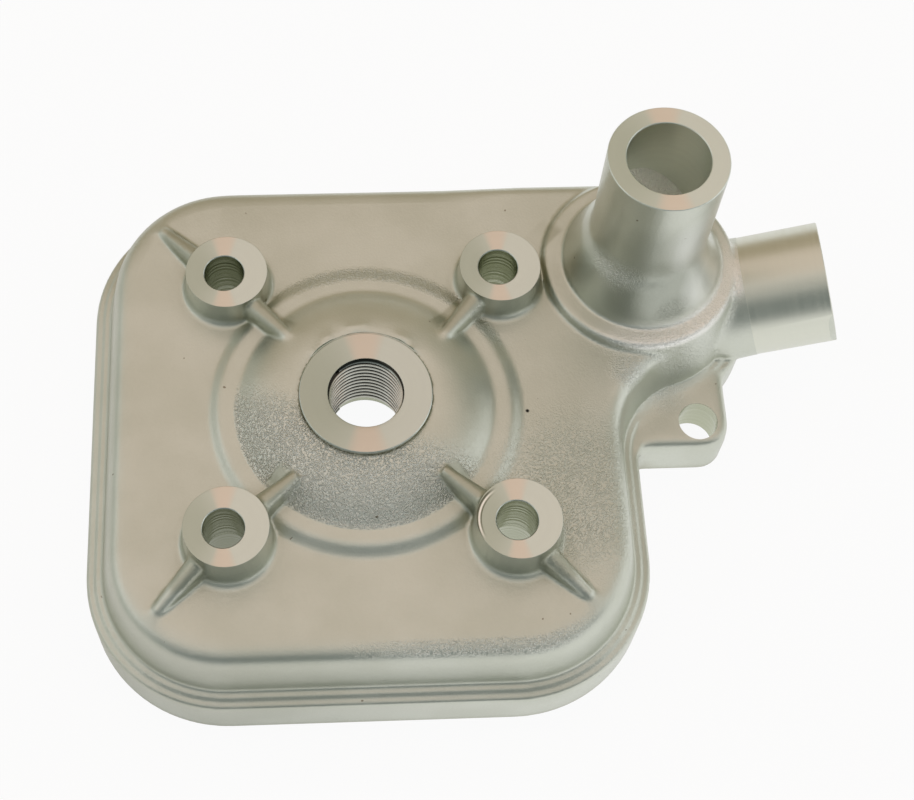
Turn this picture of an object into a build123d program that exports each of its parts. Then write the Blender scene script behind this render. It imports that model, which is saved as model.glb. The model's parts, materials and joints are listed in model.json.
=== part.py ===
from build123d import *
from math import cos, radians, sin, sqrt, tan
import os

os.makedirs("parts", exist_ok=True)

# A liquid-cooled cylinder head for a small two-stroke engine, in millimetres.
# Origin: the plug axis at the gasket face. +X to the hose side, +Y to the rear, +Z up.

# ---- driving sizes: studs and gasket flange ----
stud_pitch = 50.0            # square stud pattern, hole to hole
stud_hole_d = 7.2            # clearance hole under the nut
stud_relief_d = 9.0          # wider lower length of the same hole
stud_relief_z = 16.5         # where the hole opens out
boss_d = 14.8                # nut boss at its turned face
boss_foot_d = 15.8           # the same boss at its drafted foot
boss_foot_blend = 1.6
boss_z = 28.0                # turned nut faces
cast_shift = (0.43, 0.31)    # the cast bosses sit slightly off the drilled holes
flange_t = 10.0              # gasket flange
flange_x, flange_y = 50.45, 51.3
flange_corner = 25.5
flange_edge_r = 0.8
ledge = 2.95                 # flat ledge between the flange edge and the upper wall
terrace_w = 1.25             # low cast terrace at the foot of the wall
terrace_h = 0.6
terrace_edge_r = 0.35

# ---- driving sizes: drafted upper body ----
draft = 10.0                 # draft of the cast walls, degrees
top_z = 22.0                 # top face height on the plug axis
top_rise = 1.66              # the top face climbs to the rear, so that air reaches the outlet
top_edge_r = 2.8
foot_r = 0.6

# ---- driving sizes: outlet pot and hose tower ----
pot_r = 20.5                 # pot wall radius at the flange level
pot_x = 52.0
pot_y = flange_y - ledge - pot_r
pot_lap = 0.1                # the round pot stands this far outside the drafted wall
pot_rim_z = 24.4
pot_rim_edge_r = 1.3
pot_blend_r = 15.5           # upright blend from the side wall into the pot
rim_groove_r = 16.7          # shallow ring groove in the rim
rim_groove_w = 0.5
cone_foot_r = 14.9
cone_foot_shift = (0.4, 0.3)
cone_top_r = 11.35
cone_top_z = 34.2
cone_top_shift = (-0.6, -0.3)  # the cast cone is off the turned axis, which leaves a crescent
cone_shoulder = 1.1            # height of that rough run-out
tower_r = 10.55
tower_bore_r = 7.25
tower_z = 57.9

# ---- driving sizes: side spigot ----
side_x, side_y, side_z = 51.1, 25.3, 6.5   # a point on its axis
side_tilt = 17.6             # it climbs outwards
side_yaw = 1.0
side_r = 11.3
side_root_r = 11.75          # drafted cast root, which tapers to the turned tube
side_bore_r = 7.5
side_root = 15.6             # from that point to the root's start, inside the pot wall
side_turned = 25.5           # to the start of the turned length
side_length = 39.0           # to the open end

# ---- driving sizes: bracket lug ----
lug_right, lug_front = 68.3, -3.8
lug_hole = (62.4, 1.3)
lug_hole_d = 7.35
lug_counterbore_d = 8.6
lug_counterbore_z = 6.2
lug_corner_r = 5.0
lug_blend_r = 2.4
lug_flare_r = 3.5

# ---- driving sizes: ring, dome, ribs and plug seat ----
dome_y = -0.4                # the cast dome sits slightly in front of the plug hole
ring_height = 1.4
ring_crown_r = 26.2          # outer edge of the ring's level top
ring_foot_r = 28.2
ring_foot_soft_r = 3.5
ring_crown_soft_r = 2.8
dome_foot_r = 22.9           # inner edge of the ring's top, where the dome rises
dome_foot_soft_r = 2.4
dome_rise = 5.75             # dome above the top face, under the seat's edge
dome_bulge = 1.1
seat_r = 11.8
seat_z = boss_z + 0.2
rib_root_w, rib_tip_w = 4.8, 2.2
rib_root = 3.0               # ribs start this far from the boss axis
rib_drop = 0.7               # and this far under the nut face
rib_low_z = 18.5
dome_rib_tip_z = 27.0
corner_rib_tip = 0.35        # height of an outer rib's tip over the top face

# ---- driving sizes: plug hole and its wire thread insert, M14 x 1.25 ----
plug_pitch = 1.25
plug_crest_r = 6.35
plug_bore_r = 7.2            # plain wall behind the insert
mouth_r = 7.45
wire_crest_w, wire_root_w = 0.3, 1.0
insert_clearance = 0.02
insert_low_z = 12.4
insert_turns = 12
insert_turned = 135.0        # where the coil's cut end lies, degrees

# ---- driving sizes: underside ----
bore_r = 26.0                # cylinder bore that the squish band covers
squish_z = 1.2               # height of the band at the bowl edge
bowl_r = 19.2
bowl_z = 11.6                # top of the combustion bowl
land_r = 31.4                # chamber land, inside the water jacket
deck_x, deck_y = 42.0, 42.8  # half sizes of the open jacket at the gasket face
deck_corner = 17.0
core_draft = 3.0
core_r = 3.0                 # rounding of the sand core
roof_t = 6.0                 # metal over the jacket
cavity_r = 13.0              # outlet cavity in the pot
cavity_floor, cavity_top = 4.0, 20.5
side_bore_start = 9.0
inner_seal_d = 1.78          # cord of the combustion seal
inner_seal_r = 28.2
outer_seal_d = 2.0           # cord of the coolant seal
seal_inset = 4.2             # coolant seal line, in from the flange edge
groove_fill = 0.78           # groove depth as a part of the cord size
groove_side = 0.25           # room on each side of the cord

# ---- derived ----
half = stud_pitch / 2
studs = [(x, y) for x in (-half, half) for y in (-half, half)]
body_x, body_y = flange_x - ledge, flange_y - ledge
rise = tan(radians(top_rise))
wall_slope = tan(radians(draft))
up = (0, -sin(radians(top_rise)), cos(radians(top_rise)))
top_plane = Plane(origin=(0, 0, top_z), x_dir=(1, 0, 0), z_dir=up)
dome_plane = Plane(origin=(0, dome_y, top_z + dome_y * rise), x_dir=(1, 0, 0), z_dir=(0, -up[2], up[1]))
side_dir = (
    cos(radians(side_tilt)) * cos(radians(side_yaw)),
    cos(radians(side_tilt)) * sin(radians(side_yaw)),
    sin(radians(side_tilt)),
)
side_plane = Plane(origin=(side_x, side_y, side_z), x_dir=(0, 1, 0), z_dir=side_dir)
bowl_sphere_r = (bowl_r**2 + (bowl_z - squish_z) ** 2) / (2 * (bowl_z - squish_z))

# rib tips: one towards the dome from each boss, three out to the corners
dome_ribs = zip(studs, [(-12.5, -14.7), (-12.4, 11.4), (13.0, -14.4), (13.9, 11.2)])
corner_ribs = zip(studs, [(-37.6, -37.9), (-37.6, 38.2), (38.3, -37.4)])
ribs = [(boss, tip, dome_rib_tip_z) for boss, tip in dome_ribs]
ribs += [(boss, tip, top_z + tip[1] * rise + corner_rib_tip) for boss, tip in corner_ribs]

below = (Align.CENTER, Align.CENTER, Align.MAX)
above = (Align.CENTER, Align.CENTER, Align.MIN)


def upright(x, y):
    """Sketch plane through an upright axis at (x, y): local x outwards, local y up."""
    return Plane(origin=(x, y, 0), x_dir=(1, 0, 0), z_dir=(0, -1, 0))


def soften(sketch, *corners):
    """Round the sketch corners nearest to the given (x, y, radius) places."""
    for x, y, radius in corners:
        fillet(sketch.vertices().sort_by_distance((x, y, 0))[0], radius)


def head_plan(sketch, outset, blend=0):
    """Rounded square around the body wall, running tangent into the pot at the rear right."""
    half_x, half_y = body_x + outset, body_y + outset
    RectangleRounded(2 * half_x, 2 * half_y, flange_corner - ledge + outset)
    with Locations((pot_x, pot_y)):
        Circle(half_y - pot_y)
    with Locations((pot_x, half_y)):
        Rectangle(half_x, half_y - pot_y, align=(Align.MAX, Align.MAX))
    if blend:
        crease_y = pot_y - sqrt((half_y - pot_y) ** 2 - (half_x - pot_x) ** 2)
        soften(sketch, (half_x, crease_y, blend))


# ---- gasket flange with the bracket lug ----
with BuildPart() as flange:
    with BuildSketch() as flange_plan:
        head_plan(flange_plan, ledge)
        with Locations((lug_right, lug_front)):
            Rectangle(lug_right - body_x, pot_y - lug_front, align=(Align.MAX, Align.MIN))
        flare_y = pot_y - sqrt((pot_r + ledge) ** 2 - (lug_right - pot_x) ** 2)
        soften(flange_plan, (flange_x, lug_front, lug_blend_r), (lug_right, lug_front, lug_corner_r),
               (lug_right, flare_y, lug_flare_r))
    extrude(amount=flange_t)
    fillet(flange.faces().sort_by(Axis.Z)[-1].edges(), flange_edge_r)

# ---- low terrace at the foot of the wall ----
with BuildPart() as terrace:
    with BuildSketch(Plane.XY.offset(flange_t / 2)) as terrace_plan:
        head_plan(terrace_plan, terrace_w, pot_blend_r - terrace_w)
    extrude(amount=flange_t / 2 + terrace_h)
    fillet(terrace.faces().sort_by(Axis.Z)[-1].edges(), terrace_edge_r)

# ---- upper body: drafted walls under a tilted top ----
with BuildPart() as upper:
    with BuildSketch(Plane.XY.offset(flange_t)) as upper_plan:
        head_plan(upper_plan, 0, pot_blend_r)
    extrude(amount=top_z - flange_t + 6, taper=draft)
    split(bisect_by=top_plane, keep=Keep.BOTTOM)
    fillet(upper.faces().sort_by(Axis.Z)[-1].edges(), top_edge_r)

# ---- the core that leaves the water jacket open to the gasket face ----
with BuildPart() as jacket:
    with BuildSketch():
        RectangleRounded(2 * deck_x, 2 * deck_y, deck_corner)
    extrude(amount=top_z, taper=core_draft)
    split(bisect_by=top_plane.offset(-roof_t), keep=Keep.BOTTOM)
    fillet(jacket.faces().sort_by(Axis.Z)[-1].edges(), core_r)
    # the chamber wall, its land and the four stud columns stay solid
    with BuildSketch(upright(0, 0)) as hub:
        hub_line = [(land_r, 3.4), (25.5, 6.2), (20, 11), (15, 14.5)]
        with BuildLine():
            Polyline((13.4, top_z), (0, top_z), (0, -1), (land_r, -1), *hub_line, close=True)
        make_face()
        soften(hub, *[(r, z, 2) for r, z in hub_line])
    revolve(axis=Axis.Z, mode=Mode.SUBTRACT)
    with Locations(*[(x, y, -1) for x, y in studs]):
        Cylinder(boss_d / 2, top_z + 1, align=above, mode=Mode.SUBTRACT)

with BuildPart() as casting:
    add(flange.part)
    add(terrace.part)
    add(upper.part)
    foot_z = flange_t + terrace_h
    terrace_top = casting.faces().filter_by_position(Axis.Z, foot_z - 0.01, foot_z + 0.01)[0]
    fillet(terrace_top.inner_wires()[0].edges(), foot_r)

    # outlet pot: drafted wall and a low rounded rim with a shallow ring groove
    with BuildSketch(upright(pot_x, pot_y)) as pot_profile:
        wall = pot_r + pot_lap
        rim_r = wall - (pot_rim_z - flange_t) * wall_slope
        with BuildLine():
            Polyline((0, flange_t / 2), (wall + flange_t / 2 * wall_slope, flange_t / 2),
                     (rim_r, pot_rim_z), (0, pot_rim_z), close=True)
        make_face()
        soften(pot_profile, (rim_r, pot_rim_z, pot_rim_edge_r))
        with Locations((rim_groove_r, pot_rim_z)):
            Circle(rim_groove_w / 2, mode=Mode.SUBTRACT)
    revolve(axis=Axis((pot_x, pot_y, 0), (0, 0, 1)))

    # cast cone under the hose tower, with the rough shoulder where turning stopped
    cone_rings = (
        (cone_foot_shift, cone_foot_r, pot_rim_z - 0.1),
        (cone_top_shift, cone_top_r, cone_top_z),
        ((0, 0), tower_r - 0.05, cone_top_z + cone_shoulder),
    )
    for shift, radius, height in cone_rings:
        with BuildSketch(Plane.XY.offset(height)):
            with Locations((pot_x + shift[0], pot_y + shift[1])):
                Circle(radius)
    loft(ruled=True)

    # turned hose tower
    with Locations((pot_x, pot_y, pot_rim_z)):
        Cylinder(tower_r, tower_z - pot_rim_z, align=above)

    # side spigot: drafted cast root and turned tube
    with Locations(side_plane.offset(side_root)):
        Cone(side_root_r, side_r, side_turned - side_root, align=above)
    with Locations(side_plane.offset(side_turned)):
        Cylinder(side_r, side_length - side_turned, align=above)

    # ring and dome, square to the tilted top
    with BuildSketch(dome_plane) as dome_profile:
        sunk = -0.12
        dome_foot, dome_top = (dome_foot_r, ring_height), (seat_r - 0.6, dome_rise)
        with BuildLine():
            Polyline(dome_top, (0, dome_rise), (0, -4), (ring_foot_r + 4, -4),
                     (ring_foot_r + 4, sunk), (ring_foot_r, sunk),
                     (ring_crown_r, ring_height), dome_foot)
            bulge = ((dome_foot[0] + dome_top[0]) / 2 + dome_bulge / 2,
                     (dome_foot[1] + dome_top[1]) / 2 + dome_bulge)
            ThreePointArc(dome_foot, bulge, dome_top)
        make_face()
        soften(dome_profile, (ring_foot_r, sunk, ring_foot_soft_r),
               (ring_crown_r, ring_height, ring_crown_soft_r), (*dome_foot, dome_foot_soft_r))
    revolve(axis=Axis(dome_plane.origin, up))

    # plug seat
    with Locations((0, 0, seat_z)):
        Cylinder(seat_r, 5, align=below)

    # nut bosses, each with a soft foot
    for x, y in studs:
        bx, by = x + cast_shift[0], y + cast_shift[1]
        base = top_z + by * rise - 0.3
        with BuildSketch(upright(bx, by)) as boss_profile:
            with BuildLine():
                Polyline((0, base - 4), (boss_foot_d / 2 + 3, base - 4), (boss_foot_d / 2 + 3, base),
                         (boss_foot_d / 2, base), (boss_d / 2, boss_z), (0, boss_z), close=True)
            make_face()
            soften(boss_profile, (boss_foot_d / 2, base, boss_foot_blend))
        revolve(axis=Axis((bx, by, 0), (0, 0, 1)))

    # ribs with round backs, narrowing to their tips
    for (x0, y0), (x1, y1), tip_z in ribs:
        length = sqrt((x1 - x0) ** 2 + (y1 - y0) ** 2)
        dx, dy = (x1 - x0) / length, (y1 - y0) / length
        for reach, width, crest in ((rib_root, rib_root_w, boss_z - rib_drop),
                                    (length, rib_tip_w, tip_z)):
            across = Plane(origin=(x0 + dx * reach, y0 + dy * reach, 0),
                           x_dir=(-dy, dx, 0), z_dir=(dx, dy, 0))
            with BuildSketch(across):
                with BuildLine():
                    sides = Polyline((-width / 2, crest - width / 2), (-width / 2, rib_low_z),
                                     (width / 2, rib_low_z), (width / 2, crest - width / 2))
                    ThreePointArc(sides @ 1, (0, crest), sides @ 0)
                make_face()
        loft(ruled=True)

    # ---- cuts ----
    add(jacket.part, mode=Mode.SUBTRACT)
    # outlet cavity, tower bore and side bore
    with Locations((pot_x, pot_y, cavity_floor)):
        Cylinder(cavity_r, cavity_top - cavity_floor, align=above, mode=Mode.SUBTRACT)
        Cylinder(tower_bore_r, tower_z, align=above, mode=Mode.SUBTRACT)
    with BuildSketch(side_plane.offset(side_bore_start)):
        Circle(side_bore_r)
    extrude(amount=side_length, mode=Mode.SUBTRACT)
    # stud holes with their wider lower length
    for x, y in studs:
        for hole_d, hole_top in ((stud_hole_d, boss_z + 1), (stud_relief_d, stud_relief_z)):
            with Locations((x, y, hole_top)):
                Cylinder(hole_d / 2, hole_top + 1, align=below, mode=Mode.SUBTRACT)
    # lug hole, counterbored from below
    for hole_d, hole_top in ((lug_hole_d, flange_t + 1), (lug_counterbore_d, lug_counterbore_z)):
        with Locations((*lug_hole, hole_top)):
            Cylinder(hole_d / 2, hole_top + 1, align=below, mode=Mode.SUBTRACT)
    # combustion bowl and squish band
    with BuildSketch(upright(0, 0)):
        with BuildLine():
            mid_r = bowl_r / 2
            mid_z = bowl_z - bowl_sphere_r + sqrt(bowl_sphere_r**2 - mid_r**2)
            Polyline((bowl_r, squish_z), (bore_r, 0), (bore_r, -1), (0, -1), (0, bowl_z))
            ThreePointArc((0, bowl_z), (mid_r, mid_z), (bowl_r, squish_z))
        make_face()
    revolve(axis=Axis.Z, mode=Mode.SUBTRACT)
    # plug hole with its countersunk mouth
    with Locations((0, 0, seat_z)):
        Cylinder(plug_bore_r, seat_z, align=below, mode=Mode.SUBTRACT)
        Cone(plug_bore_r, mouth_r, mouth_r - plug_bore_r, align=below, mode=Mode.SUBTRACT)
    # seal grooves
    with BuildSketch(upright(0, 0)):
        with Locations((inner_seal_r, 0)):
            Rectangle(inner_seal_d + 2 * groove_side, 2 * groove_fill * inner_seal_d)
    revolve(axis=Axis.Z, mode=Mode.SUBTRACT)
    with BuildSketch():
        for edge, mode in ((1, Mode.ADD), (-1, Mode.SUBTRACT)):
            outset = edge * (outer_seal_d / 2 + groove_side) - seal_inset
            RectangleRounded(2 * (flange_x + outset), 2 * (flange_y + outset),
                             flange_corner + outset, mode=mode)
    extrude(amount=groove_fill * outer_seal_d, mode=Mode.SUBTRACT)

# ---- wire thread insert: one coil of shaped wire in the plug hole ----
with BuildPart() as insert:
    wire_h = plug_bore_r - insert_clearance - plug_crest_r
    flank = (wire_root_w - wire_crest_w) / 2 / wire_h
    with BuildLine() as coil:
        Helix(pitch=plug_pitch, height=insert_turns * plug_pitch, radius=plug_crest_r,
              center=(0, 0, insert_low_z))
    with BuildSketch(Plane(origin=coil.line @ 0, x_dir=(1, 0, 0), z_dir=coil.line % 0)):
        over = 0.2                  # turned away below, which leaves a true round crest
        with BuildLine():
            Polyline((-over, flank * over - wire_crest_w / 2), (wire_h, -wire_root_w / 2),
                     (wire_h, wire_root_w / 2), (-over, wire_crest_w / 2 - flank * over), close=True)
        make_face()
    sweep(path=coil.line, is_frenet=True)
    with Locations((0, 0, seat_z)):
        Cylinder(plug_crest_r, seat_z, align=below, mode=Mode.SUBTRACT)
        Cone(plug_crest_r, mouth_r, mouth_r - plug_crest_r, align=below, mode=Mode.SUBTRACT)

# ---- seal rings, free shape, standing a little proud of the gasket face ----
with BuildPart() as inner_seal:
    with Locations((0, 0, (groove_fill - 0.5) * inner_seal_d)):
        Torus(inner_seal_r, inner_seal_d / 2)

seal_path = Wire(RectangleRounded(2 * (flange_x - seal_inset), 2 * (flange_y - seal_inset),
                                  flange_corner - seal_inset).face().outer_wire().wrapped)
seal_path = seal_path.moved(Location((0, 0, (groove_fill - 0.5) * outer_seal_d)))
with BuildPart() as outer_seal:
    with BuildSketch(Plane(origin=seal_path @ 0, z_dir=seal_path % 0)):
        Circle(outer_seal_d / 2)
    sweep(path=seal_path)

casting.part.label = "head_casting"
insert_part = insert.part.rotate(Axis.Z, insert_turned)
insert_part.label = "plug_thread_insert"
inner_seal.part.label = "combustion_seal"
outer_seal.part.label = "coolant_seal"
for piece in (casting.part, insert_part, inner_seal.part, outer_seal.part):
    export_step(piece, "parts/" + piece.label + ".step")
    print(piece.label, piece.is_valid, len(piece.solids()), round(piece.volume, 1))
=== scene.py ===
# %% [markdown]
# # A cast and machined cylinder head
#
# This lesson dresses one aluminium engine casting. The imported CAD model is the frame: it
# gives every size and place, in metres. What a CAD solid lacks is the way the metal was made.
# A foundry pours a blank whose edges are all soft, and a workshop then cuts some faces sharp.
# The steps below do the same, so soft and sharp edges end up where they are on the real part.

import json
from math import hypot, pi, radians, sqrt

import bpy
from mathutils import Matrix, Vector


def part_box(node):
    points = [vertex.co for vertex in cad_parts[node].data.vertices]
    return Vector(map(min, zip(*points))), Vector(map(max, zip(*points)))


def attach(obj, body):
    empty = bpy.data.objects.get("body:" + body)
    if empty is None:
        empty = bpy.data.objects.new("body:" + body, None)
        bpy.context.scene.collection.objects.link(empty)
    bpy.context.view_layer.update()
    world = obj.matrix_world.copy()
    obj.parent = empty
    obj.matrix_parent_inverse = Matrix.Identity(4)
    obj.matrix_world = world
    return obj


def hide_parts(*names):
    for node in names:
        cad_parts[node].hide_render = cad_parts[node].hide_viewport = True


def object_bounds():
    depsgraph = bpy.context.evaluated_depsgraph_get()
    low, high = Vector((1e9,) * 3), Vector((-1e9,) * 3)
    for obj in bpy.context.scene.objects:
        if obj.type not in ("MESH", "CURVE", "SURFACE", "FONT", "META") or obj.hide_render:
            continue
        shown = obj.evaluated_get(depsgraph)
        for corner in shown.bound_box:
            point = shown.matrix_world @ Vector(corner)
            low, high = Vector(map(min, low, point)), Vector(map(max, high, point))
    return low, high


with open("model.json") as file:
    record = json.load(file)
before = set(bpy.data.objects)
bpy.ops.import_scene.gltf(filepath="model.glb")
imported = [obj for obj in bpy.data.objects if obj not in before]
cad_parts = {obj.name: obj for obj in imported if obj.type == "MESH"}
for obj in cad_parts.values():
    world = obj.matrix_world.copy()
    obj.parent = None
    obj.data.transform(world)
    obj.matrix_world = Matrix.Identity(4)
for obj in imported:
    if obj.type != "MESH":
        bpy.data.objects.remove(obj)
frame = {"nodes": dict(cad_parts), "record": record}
cad_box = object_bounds()
MM = 0.001
print("CAD nodes:", sorted(frame["nodes"]))
print("CAD box in mm:", [tuple(round(c / MM, 2) for c in corner) for corner in cad_box])

# %% [markdown]
# ## Where things are
#
# The record that travels with the CAD model lists its mounts: the stud holes, the two hose
# spigots and the lug hole, each with an axis and a radius. Reading them keeps this file free of
# copied numbers. Heights of flat faces are measured on the CAD mesh itself.

# %% Read the mounts
mounts = {m["name"]: m for m in frame["record"]["mounts"]}
casting_node = frame["nodes"]["head_casting"]
UP = Vector((0, 0, 1))

tower_axis = Vector(mounts["top_hose_spigot"]["pos_m"])
tower_r = mounts["top_hose_spigot"]["dims"]["r_mm"] * MM
spigot_mid = Vector(mounts["side_hose_spigot"]["pos_m"])
spigot_axis = Vector(mounts["side_hose_spigot"]["axis"]).normalized()
spigot_r = mounts["side_hose_spigot"]["dims"]["r_mm"] * MM
spigot_length = mounts["side_hose_spigot"]["dims"]["length_mm"] * MM
lug_place = Vector(mounts["lug_hole"]["pos_m"])
lug_hole_r = mounts["lug_hole"]["dims"]["r_mm"] * MM
stud_r = mounts["stud_holes"]["dims"]["hole_r_mm"] * MM
stud_half = mounts["stud_holes"]["dims"]["spacing_x_mm"] / 2 * MM
studs = [Vector((x, y, 0)) for x in (-stud_half, stud_half) for y in (-stud_half, stud_half)]


def top_near(place, radius):
    """Height of the highest CAD vertex within a radius of an upright axis."""
    near = [v.co.z for v in casting_node.data.vertices if (v.co - place).xy.length < radius]
    return max(near)


within_boss, within_seat = 7 * MM, 11 * MM
boss_z = top_near(studs[0], within_boss)
seat_z = top_near(Vector((0, 0, 0)), within_seat)
tower_z = top_near(tower_axis, tower_r)
print("turned faces in mm: bosses", round(boss_z / MM, 2), "seat", round(seat_z / MM, 2),
      "tower", round(tower_z / MM, 2))

# %% [markdown]
# ## Camera first
#
# A camera looks along its own -Z, so an unturned one looks straight down. Leaning it back about
# X, then turning it about Z, points it at the part from the front. A small roll about its own
# axis comes first in the chain because each later turn moves the whole camera.

# %% Camera
camera_place = Vector((-7.34, -138.73, 304.88)) * MM
look_down, look_right, camera_roll = radians(63.45), radians(5.14), radians(3.14)

camera = bpy.data.objects.new("camera", bpy.data.cameras.new("camera"))
bpy.context.scene.collection.objects.link(camera)
camera.matrix_world = (
    Matrix.Translation(camera_place)
    @ Matrix.Rotation(-look_right, 4, "Z")
    @ Matrix.Rotation(pi / 2 - look_down, 4, "X")
    @ Matrix.Rotation(camera_roll, 4, "Z")
)
camera.data.lens = 69.27
camera.data.sensor_width = 36.0
camera.data.shift_x = 0.068
camera.data.shift_y = -0.004
camera.data.clip_start = 10 * MM
bpy.context.scene.camera = camera
bpy.context.scene.view_settings.view_transform = "Standard"
print("camera is", round((camera_place - Vector((0, 0, seat_z))).length / MM), "mm from the plug seat")

# %% [markdown]
# ## Small tools for modelling
#
# Operators work on whatever is selected, so each helper first deselects everything and then
# selects exactly what it needs. A finished piece has its place baked into its mesh, which keeps
# every object at the origin like the CAD nodes.

# %% Modelling helpers
def only(piece):
    """Select one object alone and make it active."""
    if bpy.context.object and bpy.context.object.mode != "OBJECT":
        bpy.ops.object.mode_set(mode="OBJECT")
    bpy.ops.object.select_all(action="DESELECT")
    piece.select_set(True)
    bpy.context.view_layer.objects.active = piece


def settle(piece):
    """Move an object's place into its mesh."""
    only(piece)
    bpy.ops.object.transform_apply(location=True, rotation=True, scale=True)


def apply_modifier(piece, kind, **settings):
    """Add a modifier with its settings and apply it at once."""
    only(piece)
    modifier = piece.modifiers.new(kind.lower(), kind)
    for key, value in settings.items():
        setattr(modifier, key, value)
    bpy.ops.object.modifier_apply(modifier=modifier.name)


def shift_where(piece, test, move):
    """Slide the vertices whose place passes a test."""
    only(piece)
    bpy.ops.object.mode_set(mode="EDIT")
    bpy.ops.mesh.select_mode(type="VERT")
    bpy.ops.mesh.select_all(action="DESELECT")
    bpy.ops.object.mode_set(mode="OBJECT")
    for vertex in piece.data.vertices:
        vertex.select = test(vertex.co)
    count = sum(v.select for v in piece.data.vertices)
    bpy.ops.object.mode_set(mode="EDIT")
    bpy.ops.transform.translate(value=move)
    bpy.ops.object.mode_set(mode="OBJECT")
    return count


def join(first, others):
    """Join meshes into the first one."""
    only(first)
    for other in others:
        other.select_set(True)
    bpy.ops.object.join()


print("helpers:", ", ".join(f.__name__ for f in (only, settle, apply_modifier, shift_where, join)))

# %% [markdown]
# ## Pour the blank
#
# A blank leaves the mould with extra metal wherever a tool will cut later, and its holes are not
# drilled yet. It could be drawn again from nothing, but the CAD casting already has every wall in
# its place. So that casting is copied, its loose triangles are welded, and the faces to be
# machined are pushed out by an allowance. The faces lie flat, so selecting them by height is
# enough. The plug seat goes the other way: it is sunk here and comes back as a sharp disc later.

# %% Copy the CAD casting and add the machining allowance
allowance = 0.6 * MM
seat_sink = 1.2 * MM
seat_reach = 12 * MM                          # wider than the seat, narrower than the ring round it
weld = 0.001 * MM
head = bpy.data.objects.new("cast_head", casting_node.data.copy())
bpy.context.scene.collection.objects.link(head)
head.data.materials.clear()
only(head)
bpy.ops.mesh.customdata_custom_splitnormals_clear()
bpy.ops.object.mode_set(mode="EDIT")
bpy.ops.mesh.select_all(action="SELECT")
bpy.ops.mesh.remove_doubles(threshold=weld)
bpy.ops.object.mode_set(mode="OBJECT")

close = 0.02 * MM
spigot_end = spigot_mid + spigot_axis * spigot_length / 2
moved = [
    shift_where(head, lambda p: p.z < close, -UP * allowance),
    shift_where(head, lambda p: abs(p.z - boss_z) < close, UP * allowance),
    shift_where(head, lambda p: abs(p.z - seat_z) < close and p.xy.length < seat_reach, -UP * seat_sink),
    shift_where(head, lambda p: abs(p.z - tower_z) < close, UP * allowance),
    shift_where(head, lambda p: (p - spigot_end).dot(spigot_axis) > -close, spigot_axis * allowance),
]
print("vertices moved for the allowance:", moved)

# %% [markdown]
# ## Fill the holes
#
# Every hole of the CAD casting is filled with a rod a little wider than itself, so that the tool
# that drills it later meets solid metal all round. The combustion bowl gets a cone, because a
# straight rod wide enough for its mouth would break through the dome. The two hose tubes get a
# full rod each. Only the side tube's rod is thicker than the tube, since a lathe turns that one
# down along its whole length, while the tower keeps its cast wall and is faced at the top alone.

# %% A rod on any axis
ROD_SIDES = 96


def fill_rod(foot, axis, radius, length, tip_radius=None):
    """A solid rod, or a cone when the tip has a radius of its own."""
    turn = axis.to_track_quat("Z", "Y").to_euler()
    bpy.ops.mesh.primitive_cone_add(
        vertices=ROD_SIDES, radius1=radius, radius2=radius if tip_radius is None else tip_radius,
        depth=length, location=foot + axis * length / 2, rotation=turn)
    rod = bpy.context.object
    settle(rod)
    return rod


tower_foot = tower_axis.xy.to_3d()
lug_foot = lug_place.xy.to_3d()
spigot_root = spigot_mid - spigot_axis * spigot_length / 2
print("tube roots in mm:", [tuple(round(c / MM, 1) for c in p) for p in (tower_foot, spigot_root)])

# %% Fill the holes and thicken the side tube
stud_fill, plug_fill, lug_fill, tube_fill = 4.9, 7.8, 4.8, 8.5     # radii in mm
plug_fill_foot, lug_fill_length = 8, 10.4
bowl_mouth_r, bowl_tip_r, bowl_fill_length = 27.5, 13.5, 13
pot_fill_foot, pot_fill_length, tower_rod_foot = 21, 16, 33
side_fill_lead, side_fill_length, side_stock = 9, 10, 0.35

floor_z = -allowance
rods = [fill_rod(s + UP * floor_z, UP, stud_fill * MM, boss_z + 2 * allowance) for s in studs]
rods.append(fill_rod(UP * plug_fill_foot * MM, UP, plug_fill * MM, seat_z - seat_sink - plug_fill_foot * MM))
rods.append(fill_rod(UP * floor_z, UP, bowl_mouth_r * MM, bowl_fill_length * MM, bowl_tip_r * MM))
rods.append(fill_rod(lug_foot + UP * floor_z, UP, lug_fill * MM, lug_fill_length * MM))
rods.append(fill_rod(tower_foot + UP * pot_fill_foot * MM, UP, tube_fill * MM, pot_fill_length * MM))
rods.append(fill_rod(tower_foot + UP * tower_rod_foot * MM, UP, tower_r,
                     tower_z + allowance - tower_rod_foot * MM))
rods.append(fill_rod(spigot_root - spigot_axis * side_fill_lead * MM, spigot_axis, tube_fill * MM,
                     side_fill_length * MM))
rods.append(fill_rod(spigot_root, spigot_axis, spigot_r + side_stock * MM, spigot_length + allowance))
join(head, rods)
print("blank before the mould:", len(head.data.vertices), "vertices")

# %% [markdown]
# ## Soften it like sand-cast metal
#
# Metal that froze in a mould has no sharp edge anywhere. A Bevel modifier would have to find a
# way through every rib, boss and blend, and it stops where edges are short. A voxel remesh
# instead rebuilds the whole skin from small cells, which also fuses the filling rods. A Smooth
# modifier then rounds edges and hollows alike.
#
# One radius doesn't suit the whole casting. The long outer edge of the top face is much rounder
# than the ribs, so it is smoothed again by itself. A vertex group limits the Smooth modifier to
# it, and its weight fades out towards the pot, because a sudden stop would leave a visible step.
# The lug's edge, the tower's foot and the crown of the dome get the same treatment. Decimate
# comes last and thins the flat stretches.

# %% Remesh and soften the skin
cell = 0.35 * MM
soft_reach = 0.34


def rounds_for(reach):
    """Rounds of smoothing that round an edge by about a reach in mm, whatever the cell size."""
    return round(6 * (reach * MM / cell) ** 2)


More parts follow.
